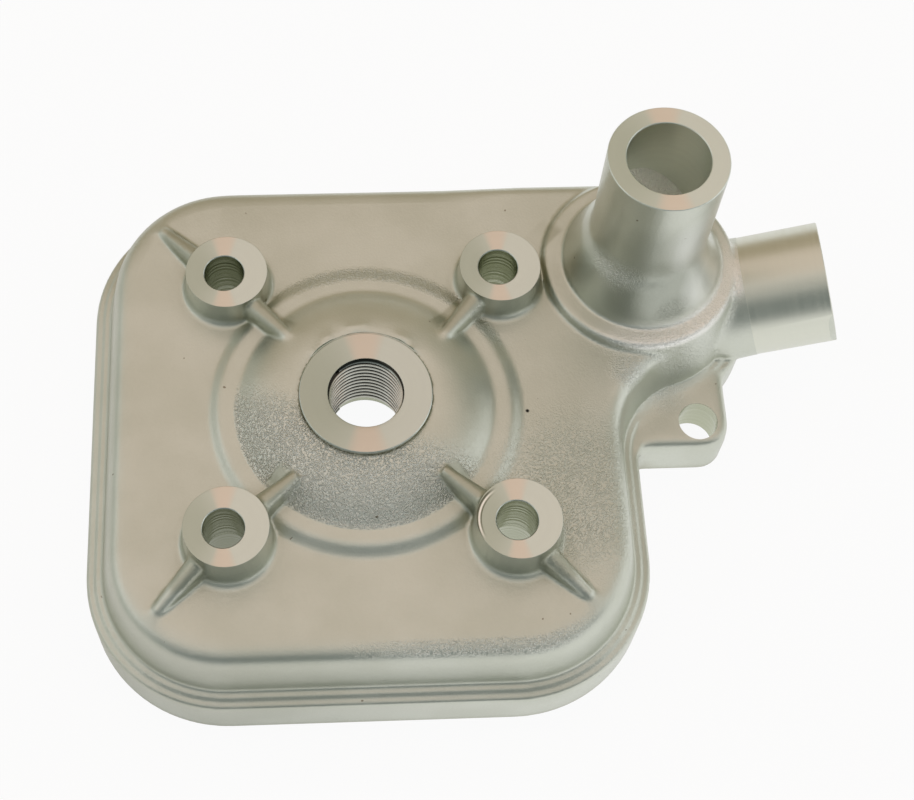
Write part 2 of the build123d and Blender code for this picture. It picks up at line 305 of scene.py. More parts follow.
apply_modifier(head, "REMESH", mode="VOXEL", voxel_size=cell, use_smooth_shade=True)
full_count = len(head.data.polygons)
apply_modifier(head, "SMOOTH", factor=0.5, iterations=rounds_for(soft_reach))
print("skin:", full_count, "cells,", rounds_for(soft_reach), "rounds of smoothing")

# %% Soften some places more
WEIGHT_STEPS = 8
top_corner_x, top_corner_y, top_inner_r = 25, 25.8, 16.4      # the rounded square inside the edge, mm
edge_low, edge_high = 14, 23.8
fade_x, fade_y, fade_from, fade_length = 46, 30, 22, 12       # round the pot


def soften_where(piece, name, share, reach):
    """Smooth the vertices by a share from 0 to 1 that depends on their place in mm."""
    group = piece.vertex_groups.new(name=name)
    steps = {}
    for vertex in piece.data.vertices:
        steps.setdefault(round(WEIGHT_STEPS * share(vertex.co / MM)), []).append(vertex.index)
    for step, members in steps.items():
        if step > 0:
            group.add(members, min(1, step / WEIGHT_STEPS), "REPLACE")
    apply_modifier(piece, "SMOOTH", factor=0.5, iterations=rounds_for(reach), vertex_group=name)
    print(name, "is softened by", reach, "mm")


def plate_edge(p):
    """Full along the outer edge of the top face, fading towards the pot."""
    outside = hypot(max(abs(p.x) - top_corner_x, 0), max(abs(p.y) - top_corner_y, 0))
    if not edge_low < p.z < edge_high or outside < top_inner_r:
        return 0
    return min(1, (hypot(p.x - fade_x, p.y - fade_y) - fade_from) / fade_length)


def lug_edge(p):
    """The upper edge of the lug beside the pot."""
    return 6 < p.z < 11 and p.x > 51 and p.y < 12


def tower_root(p):
    """Where the pot's cone runs into the tower."""
    return 30.5 < p.z < 40 and p.x > 36


def dome_top(p):
    """The crown of the dome round the seat, without the crumbly front."""
    return p.z > 23 and 11.9 < p.xy.length < 19 and p.y > -12


soften_where(head, "plate_edge", plate_edge, 2.2)
soften_where(head, "lug_edge", lug_edge, 1.6)
soften_where(head, "tower_root", tower_root, 1.5)
soften_where(head, "dome_top", dome_top, 0.9)

# %% Thin the skin
skin_triangles = 150000
apply_modifier(head, "DECIMATE", ratio=min(1, skin_triangles / (2 * full_count)))
print("thinned to", len(head.data.polygons), "faces")

# %% [markdown]
# ## Set the plug seat on the dome
#
# The seat is a low turned disc that stands just clear of the dome. Softened with the rest, its
# thin edge would melt into the dome, and a tool could not bring it back. So it was sunk before
# the remesh, and a plain cylinder is joined on now with a Boolean. The tool then trims it sharp.

# %% Add the plug seat as a sharp disc
seat_r = 11.8 * MM
disc_foot = 24 * MM
DISC_SIDES = 192
bpy.ops.mesh.primitive_cylinder_add(vertices=DISC_SIDES, radius=seat_r, depth=seat_z + allowance - disc_foot,
                                    location=(0, 0, (seat_z + allowance + disc_foot) / 2))
disc = bpy.context.object
settle(disc)
apply_modifier(head, "BOOLEAN", object=disc, operation="UNION", solver="EXACT")
bpy.data.objects.remove(disc)
print("with the seat disc:", len(head.data.polygons), "faces")

# %% [markdown]
# ## Machine it
#
# Every cut on this head is round about some axis, so each tool is one turned solid: half a
# section is drawn beside the axis by extruding a single corner from point to point, and Spin
# sweeps it round. A Boolean with the exact solver then takes the tool out of the blank and
# leaves a crisp edge where cut meets cast. The new faces keep the tool's material, which is how
# the turned finish gets exactly where a tool has been.

# %% A turned cutter
SPIN_STEPS = 128
SPIN_WELD = 0.002 * MM
WALL_SLOPE = 0.7                              # a face whose normal rises less than this is a wall


def turned_cutter(name, section, foot, axis, finish, bore_finish, bore_limit):
    """Solid of revolution from (radius, height) points, with its foot on an axis.

    Walls nearer to the axis than the bore limit get the bore finish.
    """
    bpy.ops.mesh.primitive_plane_add(size=MM)
    tool = bpy.context.object
    tool.name = name
    bpy.ops.object.mode_set(mode="EDIT")
    bpy.ops.mesh.select_mode(type="VERT")
    bpy.ops.mesh.select_all(action="SELECT")
    bpy.ops.mesh.merge(type="CENTER")
    at = Vector((0, 0, 0))
    for number, (radius, height) in enumerate(section):
        step = Vector((radius, 0, height)) * MM - at
        if number:
            bpy.ops.mesh.extrude_region_move(TRANSFORM_OT_translate={"value": step})
        else:
            bpy.ops.transform.translate(value=step)
        at += step
    bpy.ops.mesh.select_all(action="SELECT")
    bpy.ops.mesh.spin(steps=SPIN_STEPS, angle=2 * pi, center=(0, 0, 0), axis=(0, 0, 1))
    bpy.ops.mesh.select_all(action="SELECT")
    bpy.ops.mesh.remove_doubles(threshold=SPIN_WELD)
    bpy.ops.mesh.normals_make_consistent(inside=False)
    bpy.ops.object.mode_set(mode="OBJECT")
    tool.data.materials.append(finish)
    tool.data.materials.append(bore_finish)
    for face in tool.data.polygons:
        if abs(face.normal.z) < WALL_SLOPE and face.center.xy.length < bore_limit * MM:
            face.material_index = 1
    tool.rotation_euler = axis.to_track_quat("Z", "Y").to_euler()
    tool.location = foot
    settle(tool)
    return tool


print("a cutter is spun in", SPIN_STEPS, "steps")

# %% [markdown]
# ### The section of each tool
#
# A section lists (radius, height) points in millimetres, from the axis outwards and back to it,
# as a turner reads a drawing. One tool faces a boss and drills its hole in a single cut. Every
# edge that it leaves has a tiny 45 degree rim, because a real edge is always broken a little.
# The tools start outside the metal, so no cut face lies exactly on a face of the blank.

# %% Sections of the boss and lug tools
clear = 3.0                                   # how far a tool starts outside the metal
rim = 0.15                                    # broken edge
boss_mm, seat_mm, tower_mm = boss_z / MM, seat_z / MM, tower_z / MM
stud_mm, relief_r, relief_top, relief_run = stud_r / MM, 4.5, 16.5, 0.6
boss_cut_r = 8.7
stud_section = [
    (0, -clear), (relief_r, -clear), (relief_r, relief_top), (stud_mm, relief_top + relief_run),
    (stud_mm, boss_mm - rim), (stud_mm + rim, boss_mm), (boss_cut_r, boss_mm),
    (boss_cut_r, boss_mm + clear), (0, boss_mm + clear),
]
lug_mm, sunk_r, sunk_top, lug_tool_top = lug_hole_r / MM, 4.3, 6.2, 14
lug_section = [
    (0, -clear), (sunk_r, -clear), (sunk_r, sunk_top), (lug_mm, sunk_top), (lug_mm, lug_tool_top),
    (0, lug_tool_top),
]
print("boss tool has", len(stud_section), "points, lug tool", len(lug_section))

# %% Section of the chamber and plug seat tool
chamber_r, band_r, bowl_top = 19.2, 26.0, 11.6    # bowl, squish band and bowl height, as in the CAD
band_rise = 1.2
sphere_r = (chamber_r ** 2 + (bowl_top - band_rise) ** 2) / (2 * (bowl_top - band_rise))
plug_hole_r, mouth_r, thread_r = 7.2, 7.5, 6.75
insert_gap, lip = 0.05, 0.1
insert_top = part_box("plug_thread_insert")[1].z / MM + insert_gap
BOWL_PARTS = 12
bowl_arc = []
for part in range(BOWL_PARTS + 1):
    radius = chamber_r + (plug_hole_r - chamber_r) * part / BOWL_PARTS
    bowl_arc.append((radius, bowl_top - sphere_r + sqrt(sphere_r ** 2 - radius ** 2)))
seat_mm_r, shelf, shelf_w, shelf_slope_w = seat_r / MM, 0.4, 0.3, 0.9
chamber_section = [
    (0, -clear), (band_r, -clear), (band_r, 0), *bowl_arc,
    (plug_hole_r, insert_top), (thread_r, insert_top), (thread_r, insert_top + lip),
    (mouth_r, seat_mm),
    (seat_mm_r - rim, seat_mm), (seat_mm_r, seat_mm - rim), (seat_mm_r, seat_mm - shelf),
    (seat_mm_r + shelf_w, seat_mm - shelf), (seat_mm_r + shelf_slope_w, seat_mm + clear),
    (0, seat_mm + clear),
]
print("chamber tool has", len(chamber_section), "points")

# %% Sections of the hose tube tools
tower_bore, tower_mm_r, tool_foot, rim_tool_w = 7.25, tower_r / MM, 18, 1.5
tower_section = [
    (0, tool_foot), (tower_bore, tool_foot), (tower_bore, tower_mm - rim), (tower_bore + rim, tower_mm),
    (tower_mm_r - rim, tower_mm), (tower_mm_r + rim_tool_w, tower_mm - rim - rim_tool_w),
    (tower_mm_r + rim_tool_w, tower_mm + clear), (0, tower_mm + clear),
]
tube, tube_r = spigot_length / MM, spigot_r / MM
tube_bore, bore_foot, turned_from, tube_cut_r = 7.5, -16, -1.5, 14
spigot_section = [
    (0, bore_foot), (tube_bore, bore_foot), (tube_bore, tube - rim), (tube_bore + rim, tube),
    (tube_r - rim, tube), (tube_r, tube - rim), (tube_r, turned_from), (tube_cut_r, turned_from),
    (tube_cut_r, tube + clear), (0, tube + clear),
]
passage_r, passage_top = 1.9, 50
passage_section = [(0, tool_foot), (passage_r, tool_foot), (passage_r, passage_top), (0, passage_top)]
print("tower tool has", len(tower_section), "points, side tube tool", len(spigot_section))

# %% Section, foot, axis and bore limit of each cut
cuts = {f"stud_{n}": (stud_section, s, UP, 4.7) for n, s in enumerate(studs)}
cuts["chamber"] = (chamber_section, Vector((0, 0, 0)), UP, 7.6)
cuts["tower"] = (tower_section, tower_foot, UP, 7.5)
cuts["spigot"] = (spigot_section, spigot_root, spigot_axis, 7.7)
cuts["lug"] = (lug_section, lug_foot, UP, 4.4)
print(len(cuts), "axes to machine")

# %% [markdown]
# ## Finishes
#
# A shader node group is a finish recipe with knobs. Seven effects are shared here: the grain of
# a blasted casting, the crumbs that coarse sand leaves, slow cloudy changes of tone, the fine
# rings that a lathe leaves, where a painted sheen and painted shade lie across such rings, and
# round or ring-shaped masks that say where an effect sits. Groups put out only heights and masks.
# The Principled shader, with its metal colour and roughness, stays in every material.

# %% Helpers that build node trees
def set_inputs(tree, made, inputs):
    """Put a constant or a link on each named input of a node."""
    for socket, value in inputs.items():
        if isinstance(value, bpy.types.NodeSocket):
            tree.links.new(value, made.inputs[socket])
        else:
            made.inputs[socket].default_value = value


def add_node(tree, kind, inputs=None, **settings):
    """A shader node with its settings, and constants or links on its inputs."""
    made = tree.nodes.new("ShaderNode" + kind)
    for key, value in settings.items():
        setattr(made, key, value)
    set_inputs(tree, made, inputs or {})
    return made


def maths(tree, operation, first, second=0.0, clamp=False):
    """A Math node's result."""
    return add_node(tree, "Math", {0: first, 1: second}, operation=operation, use_clamp=clamp).outputs[0]


def ramp(tree, value, low, high, to_low=0.0, to_high=1.0):
    """A smooth change between two levels of a value."""
    return add_node(tree, "MapRange", {"Value": value, "From Min": low, "From Max": high, "To Min": to_low,
                                       "To Max": to_high}, interpolation_type="SMOOTHSTEP").outputs[0]


def new_group(name, knobs, results):
    """An empty node group with float or vector inputs and float outputs."""
    tree = bpy.data.node_groups.new(name, "ShaderNodeTree")
    for knob, start in knobs.items():
        kind = "NodeSocketFloat" if isinstance(start, float) else "NodeSocketVector"
        socket = tree.interface.new_socket(knob, in_out="INPUT", socket_type=kind)
        if start is not None:
            socket.default_value = start
    for result in results:
        tree.interface.new_socket(result, in_out="OUTPUT", socket_type="NodeSocketFloat")
    entry = tree.nodes.new("NodeGroupInput").outputs
    leave = tree.nodes.new("NodeGroupOutput").inputs
    return tree, entry, leave


def use_group(tree, group, **inputs):
    """Place a node group in a material and set its knobs."""
    made = tree.nodes.new("ShaderNodeGroup")
    made.node_tree = group
    set_inputs(tree, made, inputs)
    return made.outputs


print("helpers:", ", ".join(f.__name__ for f in (set_inputs, add_node, maths, ramp, new_group, use_group)))

# %% Group: blasted grain
grain, knob, result = new_group("blasted_grain", {"Place": None, "Size": 0.5}, ["Height", "Speck"])
per_size = maths(grain, "DIVIDE", 1.0 / MM, knob["Size"])
fine = add_node(grain, "TexNoise", {"Vector": knob["Place"], "Scale": per_size, "Detail": 3.0,
                                    "Roughness": 0.6}).outputs[0]
grain.links.new(ramp(grain, fine, 0.25, 0.75), result["Height"])
pits = add_node(grain, "TexNoise", {"Vector": knob["Place"], "Scale": 0.7 / MM, "Detail": 1.0}).outputs[0]
grain.links.new(ramp(grain, pits, 0.79, 0.82), result["Speck"])     # only the rarest peaks are pits
print("group:", grain.name)

# %% Group: crumbs of coarse sand
sand, knob, result = new_group("sand_crumbs", {"Place": None, "Size": 0.8}, ["Height"])
per_size = maths(sand, "DIVIDE", 1.0 / MM, knob["Size"])
swirl = add_node(sand, "TexNoise", {"Vector": knob["Place"], "Scale": maths(sand, "MULTIPLY", per_size, 0.6),
                                    "Detail": 2.0}).outputs["Color"]
stir = 1.1 * MM                               # how far the crumbs are pulled out of round
swirl = add_node(sand, "VectorMath", {0: swirl, 1: (stir, stir, stir)}, operation="MULTIPLY").outputs[0]
swirled = add_node(sand, "VectorMath", {0: knob["Place"], 1: swirl}, operation="ADD").outputs[0]
crumb = add_node(sand, "TexVoronoi", {"Vector": swirled, "Scale": per_size, "Smoothness": 0.7},
                 feature="SMOOTH_F1").outputs["Distance"]
dust = add_node(sand, "TexNoise", {"Vector": knob["Place"], "Scale": maths(sand, "MULTIPLY", per_size, 1.7),
                                   "Detail": 2.0}).outputs[0]
hump = ramp(sand, crumb, 0.65, 0.1)
sand.links.new(maths(sand, "ADD", maths(sand, "MULTIPLY", hump, 0.7), maths(sand, "MULTIPLY", dust, 0.3)),
               result["Height"])
print("group:", sand.name)

# %% Group: slow clouds of tone
clouds, knob, result = new_group("slow_clouds", {"Place": None, "Size": 12.0}, ["Tone"])
per_size = maths(clouds, "DIVIDE", 1.0 / MM, knob["Size"])
drift = add_node(clouds, "TexNoise", {"Vector": knob["Place"], "Scale": per_size, "Detail": 2.0}).outputs[0]
clouds.links.new(ramp(clouds, drift, 0.32, 0.68), result["Tone"])
print("group:", clouds.name)

# %% Group: lathe rings round the local Z axis
rings, knob, result = new_group("lathe_rings", {"Place": None, "Pitch": 0.12}, ["Height", "Tone"])
flat = add_node(rings, "VectorMath", {0: knob["Place"], 1: (1, 1, 0)}, operation="MULTIPLY").outputs[0]
reach = add_node(rings, "VectorMath", {0: flat}, operation="LENGTH").outputs["Value"]
along = add_node(rings, "SeparateXYZ", {0: knob["Place"]}).outputs["Z"]
line = add_node(rings, "CombineXYZ", {"X": maths(rings, "ADD", reach, along)}).outputs[0]
per_pitch = maths(rings, "DIVIDE", 1.0 / MM, knob["Pitch"])
groove = add_node(rings, "TexNoise", {"Vector": line, "Scale": per_pitch, "Detail": 2.0}).outputs[0]
rings.links.new(groove, result["Height"])
band = add_node(rings, "TexNoise", {"Vector": line, "Scale": maths(rings, "MULTIPLY", per_pitch, 0.12),
                                    "Detail": 1.0}).outputs[0]
rings.links.new(ramp(rings, band, 0.35, 0.65), result["Tone"])
print("group:", rings.name)

# %% Group: where painted sheen and painted shade lie across turned rings
sheen_group, knob, result = new_group("painted_turned_sheen", {"Place": None, "Slope": None}, ["Side", "SheenFan"])
flat = add_node(sheen_group, "VectorMath", {0: knob["Place"], 1: (1, 1, 0)}, operation="MULTIPLY").outputs[0]
unit = add_node(sheen_group, "VectorMath", {0: flat}, operation="NORMALIZE").outputs[0]
aim = add_node(sheen_group, "SeparateXYZ", {0: unit})
steep = add_node(sheen_group, "SeparateXYZ", {0: knob["Slope"]}).outputs["Z"]
level = ramp(sheen_group, maths(sheen_group, "ABSOLUTE", steep), 0.8, 0.98)
sheen_group.links.new(maths(sheen_group, "MULTIPLY", level, ramp(sheen_group, aim.outputs["X"], 0.5, -1.0)), result["Side"])
narrow = ramp(sheen_group, maths(sheen_group, "ABSOLUTE", aim.outputs["Y"]), 0.93, 1.0)
sheen_group.links.new(maths(sheen_group, "MULTIPLY", level, narrow), result["SheenFan"])
print("group:", sheen_group.name)

# %% Group: a round patch
patch, knob, result = new_group("round_patch", {"Place": None, "Centre": None, "Radius": 5.0, "Soft": 1.0},
                                ["Mask"])
far = add_node(patch, "VectorMath", {0: knob["Place"], 1: knob["Centre"]}, operation="DISTANCE")
inside = maths(patch, "SUBTRACT", maths(patch, "MULTIPLY", knob["Radius"], MM), far.outputs["Value"])
inside = maths(patch, "DIVIDE", inside, maths(patch, "MULTIPLY", knob["Soft"], MM))
patch.links.new(maths(patch, "ADD", inside, 0.5, clamp=True), result["Mask"])
print("group:", patch.name)

# %% Group: a sector of a ring
sector, knob, result = new_group("ring_sector", {
    "Place": None, "Centre": None, "Inner": 5.0, "Outer": 8.0, "Soft": 0.5, "Facing": None, "From": 0.0,
    "To": 5.0}, ["Mask"])
away = add_node(sector, "VectorMath", {0: knob["Place"], 1: knob["Centre"]}, operation="SUBTRACT").outputs[0]
away = add_node(sector, "VectorMath", {0: away, 1: (1 / MM, 1 / MM, 0)}, operation="MULTIPLY").outputs[0]
reach = add_node(sector, "VectorMath", {0: away}, operation="LENGTH").outputs["Value"]
past = add_node(sector, "VectorMath", {0: away, 1: knob["Facing"]}, operation="DOT_PRODUCT").outputs["Value"]
sides = [maths(sector, "DIVIDE", maths(sector, "SUBTRACT", reach, knob["Inner"]), knob["Soft"], clamp=True),
         maths(sector, "DIVIDE", maths(sector, "SUBTRACT", knob["Outer"], reach), knob["Soft"], clamp=True),
         ramp(sector, past, knob["From"], knob["To"])]
both = maths(sector, "MULTIPLY", sides[0], sides[1])
sector.links.new(maths(sector, "MULTIPLY", both, sides[2]), result["Mask"])
print("node groups:", [g.name for g in bpy.data.node_groups])

# %% [markdown]
# ### Cast aluminium
#
# The casting was blasted, so it is a satin metal: fully metallic, rather rough, with a neutral
# grey tint. Where the mould's sand was coarse, or the blasting reached badly, the skin is
# crumbly and more silvery. Masks set those patches on the dome, the ring, the pot's rim and the
# foot of the tower, and they drive the bump and the colour together.

# %% Helpers for metals
def new_metal(name, colour, roughness):
    """A material with a metallic Principled shader and the object's own coordinates."""
    made = bpy.data.materials.new(name)
    made.use_nodes = True
    tree = made.node_tree
    shader = tree.nodes["Principled BSDF"]
    shader.inputs["Base Color"].default_value = (*colour, 1)
    shader.inputs["Metallic"].default_value = 1.0
    shader.inputs["Roughness"].default_value = roughness
    made.diffuse_color = (*colour, 1)
    place = tree.nodes.new("ShaderNodeTexCoord").outputs["Object"]
    return made, tree, shader.inputs, place


def bump(tree, height, depth, under=None):
    """A Bump node whose full height is a depth in metres, over another normal if there is one."""
    made = add_node(tree, "Bump", {"Height": height, "Distance": depth})
    if under:
        tree.links.new(under, made.inputs["Normal"])
    return made.outputs[0]


def blend_colours(tree, factor, first, second):
    """A colour between two, by a factor; each is a colour or a socket."""
    ends = [(*end, 1) if isinstance(end, tuple) else end for end in (first, second)]
    made = add_node(tree, "Mix", {"Factor": factor, "A": ends[0], "B": ends[1]}, data_type="RGBA")
    return made.outputs["Result"]


print("helpers:", ", ".join(f.__name__ for f in (new_metal, bump, blend_colours)))

# %% Start the cast aluminium
cast_light, cast_dark = (0.65, 0.67, 0.595), (0.60, 0.62, 0.54)
cast_metal, tree, sockets, place = new_metal("cast_aluminium", cast_light, 0.42)
grain_out = use_group(tree, grain, Place=place, Size=0.45)
tone = use_group(tree, clouds, Place=place, Size=14.0)["Tone"]
crumbs = use_group(tree, sand, Place=place, Size=0.33)["Height"]
place_xyz = add_node(tree, "SeparateXYZ", {0: place}).outputs
print("started:", cast_metal.name)

# %% Patches of coarse sand, each with its share
sand_patches = [
    # the front left of the dome
    (1.0, use_group(tree, sector, Place=place, Centre=(0, -0.4 * MM, 0), Inner=0.0, Outer=23.6, Soft=0.5,
                    Facing=(-0.35, -0.94, 0), From=1.0, To=11.0)),
    # the rear of the soft ring
    (0.75, use_group(tree, sector, Place=place, Centre=(0, 0, 0), Inner=24.6, Outer=28.9, Soft=1.2,
                     Facing=(0.25, 0.97, 0), From=14.0, To=25.0)),
    # the rim of the outlet pot
    (0.3, use_group(tree, sector, Place=place, Centre=tower_foot, Inner=14.0, Outer=20.5, Soft=1.0,
                    Facing=(0.6, -0.8, 0), From=2.0, To=14.0)),
    # the corner between the top face and the pot
    (0.6, use_group(tree, patch, Place=place, Centre=Vector((48.3, 6.2, 21.8)) * MM, Radius=3.2, Soft=3.0)),
    # the foot of the tower, left and front
    (0.75, use_group(tree, patch, Place=place, Centre=tower_foot + Vector((-4.6, -5.6, 34.0)) * MM,
                     Radius=5.0, Soft=3.0)),
    (0.75, use_group(tree, patch, Place=place, Centre=tower_foot + Vector((3.2, -9.4, 27.5)) * MM,
                     Radius=3.6, Soft=3.0)),
    # low on the pot, beside the lug
    (0.3, use_group(tree, patch, Place=place, Centre=Vector((57.0, 6.6, 9.0)) * MM, Radius=3.5, Soft=3.0)),
]
pot_rim = sand_patches[2][1]["Mask"]
sand_mask = 0.0
for strength, spot in sand_patches:
    sand_mask = maths(tree, "MAXIMUM", sand_mask, maths(tree, "MULTIPLY", spot["Mask"], strength))
print("patches of coarse sand:", len(sand_patches))

# %% [markdown]
# ### Masks that follow the stud square
#
# The outline of the head is a square with round corners about the studs, and the ribs stand on
# the diagonals through them. With the absolute value of X and Y, all four corners fold onto one,
# and a single mask serves them all.

# %% Fold the four corners onto one
mirrored_place = add_node(tree, "VectorMath", {0: place}, operation="ABSOLUTE").outputs[0]
from_stud = add_node(tree, "VectorMath", {0: mirrored_place, 1: (stud_half, stud_half, 0)},
                     operation="SUBTRACT").outputs[0]
from_stud_xyz = add_node(tree, "SeparateXYZ", {0: from_stud}).outputs
print("stud square half side in mm:", round(stud_half / MM, 2))

# %% A rough band on the rounded front edge of the top face
outward = add_node(tree, "VectorMath", {0: from_stud, 1: (0, 0, 0)}, operation="MAXIMUM").outputs[0]
outward = add_node(tree, "VectorMath", {0: outward, 1: (1, 1, 0)}, operation="MULTIPLY").outputs[0]
outward = add_node(tree, "VectorMath", {0: outward}, operation="LENGTH").outputs["Value"]
band_share = 0.6
band_limits = (                               # coordinate, where the band is absent, where full, mm
    (outward, 17.6, 19.2), (outward, 21.6, 20.4),
    (place_xyz["X"], -12, 14), (place_xyz["X"], 40, 30), (place_xyz["Y"], -34, -38),
)
band = band_share
for coordinate, none_at, full_at in band_limits:
    band = maths(tree, "MULTIPLY", ramp(tree, coordinate, none_at * MM, full_at * MM), band)
sand_mask = maths(tree, "MAXIMUM", sand_mask, band)
print("limits of the rough band:", len(band_limits))

# %% The ribs, which have no coarse sand
stud_x, stud_y = from_stud_xyz["X"], from_stud_xyz["Y"]
beside = maths(tree, "MULTIPLY", maths(tree, "SUBTRACT", stud_x, stud_y), sqrt(0.5))
along = maths(tree, "MULTIPLY", maths(tree, "ADD", stud_x, stud_y), sqrt(0.5))
rib = ramp(tree, from_stud_xyz["Z"], 22.8 * MM, 23.6 * MM)
for distance, none_at, full_at in ((beside, 2.7, 1.9), (along, 17, 15)):
    near_rib = ramp(tree, maths(tree, "ABSOLUTE", distance), none_at * MM, full_at * MM)
    rib = maths(tree, "MULTIPLY", rib, near_rib)
sand_mask = maths(tree, "MULTIPLY", sand_mask, maths(tree, "SUBTRACT", 1.0, rib))
print("ribs masked along both diagonals")

# %% [markdown]
# ### Colour of the casting
#
# The colour is built in layers, each blended over the one before: slow clouds, silvery crumbs,
# the pits, painted shade on the ribs. Then come painted reflections fixed to the pot's cone and
# to the tower. A curved satin wall shows bands of whatever stands round it, which this plain
# studio hasn't got, so two dark painted reflections at the front and two light ones on the right
# side stand in for them. The pot's rim gets a painted highlight. Last, an Ambient Occlusion node
# paints shade into the hollows.

# %% Layers over the whole casting
cast_sand, pit_colour, rib_shade_colour = (0.79, 0.81, 0.77), (0.3, 0.28, 0.22), (0.42, 0.43, 0.34)
crumb_share = maths(tree, "MULTIPLY", sand_mask, ramp(tree, crumbs, 0.1, 0.8, 0.35, 1.0))
colour = blend_colours(tree, tone, cast_dark, cast_light)
colour = blend_colours(tree, crumb_share, colour, cast_sand)
colour = blend_colours(tree, grain_out["Speck"], colour, pit_colour)
# painted shade: the ribs are blended towards a darker olive
colour = blend_colours(tree, maths(tree, "MULTIPLY", rib, 0.75), colour, rib_shade_colour)
print("layers: clouds, crumbs, pits, ribs")

# %% Painted reflections on the cone and the tower
dark_painted_reflection, light_painted_reflection, rim_highlight_colour = (0.43, 0.45, 0.39), (0.90, 0.91, 0.87), (0.95, 0.94, 0.90)
above_rim = ramp(tree, place_xyz["Z"], 25.0 * MM, 27.0 * MM)
# painted reflections: dark ones at the front of the cone and tower, light ones on their right side
painted_reflection_spots = (                                     # centre from the tower's foot, radius, share, colour
    ((1.5, -12.5, 31.0), 8.5, 1.0, dark_painted_reflection), ((1.2, -9.5, 43.0), 7.5, 0.6, dark_painted_reflection),
    ((11.6, -6.5, 29.5), 6.0, 0.7, light_painted_reflection), ((9.5, -4.5, 45.0), 9.0, 0.6, light_painted_reflection),
)
for centre, radius, strength, reflection_colour in painted_reflection_spots:
    spot = use_group(tree, patch, Place=place, Centre=tower_foot + Vector(centre) * MM, Radius=radius,
                     Soft=5.5)
    share = maths(tree, "MULTIPLY", maths(tree, "MULTIPLY", spot["Mask"], above_rim), strength)
    colour = blend_colours(tree, share, colour, reflection_colour)
# painted highlight: the front of the pot's rim, below the cone, is blended towards near white
rim_highlight_share = maths(tree, "MULTIPLY", pot_rim, maths(tree, "SUBTRACT", 0.8, above_rim, clamp=True))
rim_highlight_share = maths(tree, "MULTIPLY", rim_highlight_share, ramp(tree, place_xyz["Z"], 22.4 * MM, 23.8 * MM))
colour = blend_colours(tree, rim_highlight_share, colour, rim_highlight_colour)
print("tints:", len(painted_reflection_spots), "and the pot's rim")

# %% One black speck and painted shade in the hollows
speck_colour, hollow_shade_colour, shade_reach = (0.02, 0.02, 0.02), (0.27, 0.26, 0.16), 5 * MM
speck = use_group(tree, patch, Place=place, Centre=Vector((29.0, -1.5, 22.0)) * MM, Radius=0.32, Soft=0.2)
colour = blend_colours(tree, speck["Mask"], colour, speck_colour)
# painted shade: where the Ambient Occlusion node finds metal close by, the colour turns to a dark olive
occlusion_shade = add_node(tree, "AmbientOcclusion", {"Distance": shade_reach}, samples=4).outputs["AO"]
colour = blend_colours(tree, ramp(tree, occlusion_shade, 0.15, 0.8), hollow_shade_colour, colour)
tree.links.new(colour, sockets["Base Color"])
print("hollows darken within", round(shade_reach / MM, 1), "mm")

# %% Roughness and bumps of the casting
GRAIN_DEPTH, WRINKLE_DEPTH, SAND_DEPTH = 0.012 * MM, 0.15 * MM, 0.26 * MM
tree.links.new(ramp(tree, grain_out["Height"], 0.0, 1.0, 0.36, 0.44), sockets["Roughness"])
# the wrinkles lie to the right of the front right boss
wrinkle = use_group(tree, patch, Place=place, Centre=Vector((37.5, -17.0, 21.5)) * MM, Radius=14.0, Soft=11.0)
wrinkle = maths(tree, "MULTIPLY", crumbs, maths(tree, "MULTIPLY", wrinkle["Mask"], 0.9))
skin = bump(tree, grain_out["Height"], GRAIN_DEPTH)
skin = bump(tree, wrinkle, WRINKLE_DEPTH, skin)
skin = bump(tree, maths(tree, "MULTIPLY", crumbs, sand_mask), SAND_DEPTH, skin)
tree.links.new(skin, sockets["Normal"])
print("nodes in", cast_metal.name + ":", len(tree.nodes))

# %% [markdown]
# ### Turned and drilled aluminium
#
# Where a lathe or a drill has been, the metal is brighter. The light drawn out across the fine
# rings, as on the back of a saucepan, is painted into the colour: a pinkish painted sheen at the
# front and back of a turned face, and painted shade on its left side. The ring group needs
# coordinates about the tool's own axis, and a Mapping node gives them. The four stud bosses stand
# in a square, so the absolute value of X and Y finds the nearest one, and the sign turns the
# picture back. A Bevel node gives each sharp edge the thin bright line that a real broken edge has.
#
# Each finish starts from the same colours, and `lift` brightens or dims all of them. The face of
# the front right boss carries the marks of a slipped tool, one bright arc between two dark ones.

# %% The recipe for machined metal
# the second colour is painted shade for the left side of a turned face, the third a pinkish painted sheen
face_colour, painted_side_shade, painted_sheen_pink = (0.69, 0.74, 0.68), (0.48, 0.53, 0.45), (0.76, 0.67, 0.57)
EDGE_R = 0.16 * MM                            # radius of the broken edges
SCARRED_BOSS = (stud_half, -stud_half, 0)


def coordinates_round_axis(tree, place, foot, axis):
    """Coordinates whose local Z is the tool's axis."""
    turn = UP.rotation_difference(axis).to_euler()
    return add_node(tree, "Mapping", {"Vector": place, "Location": foot, "Rotation": turn},
                    vector_type="TEXTURE").outputs[0]


def coordinates_round_nearest_stud(tree, place, foot):
    """Coordinates round whichever of the four studs is nearest."""
    near = add_node(tree, "VectorMath", {0: place}, operation="ABSOLUTE").outputs[0]
    near = add_node(tree, "VectorMath", {0: near, 1: foot}, operation="SUBTRACT").outputs[0]
    turn_back = add_node(tree, "VectorMath", {0: place}, operation="SIGN").outputs[0]
    return add_node(tree, "VectorMath", {0: near, 1: turn_back}, operation="MULTIPLY").outputs[0]


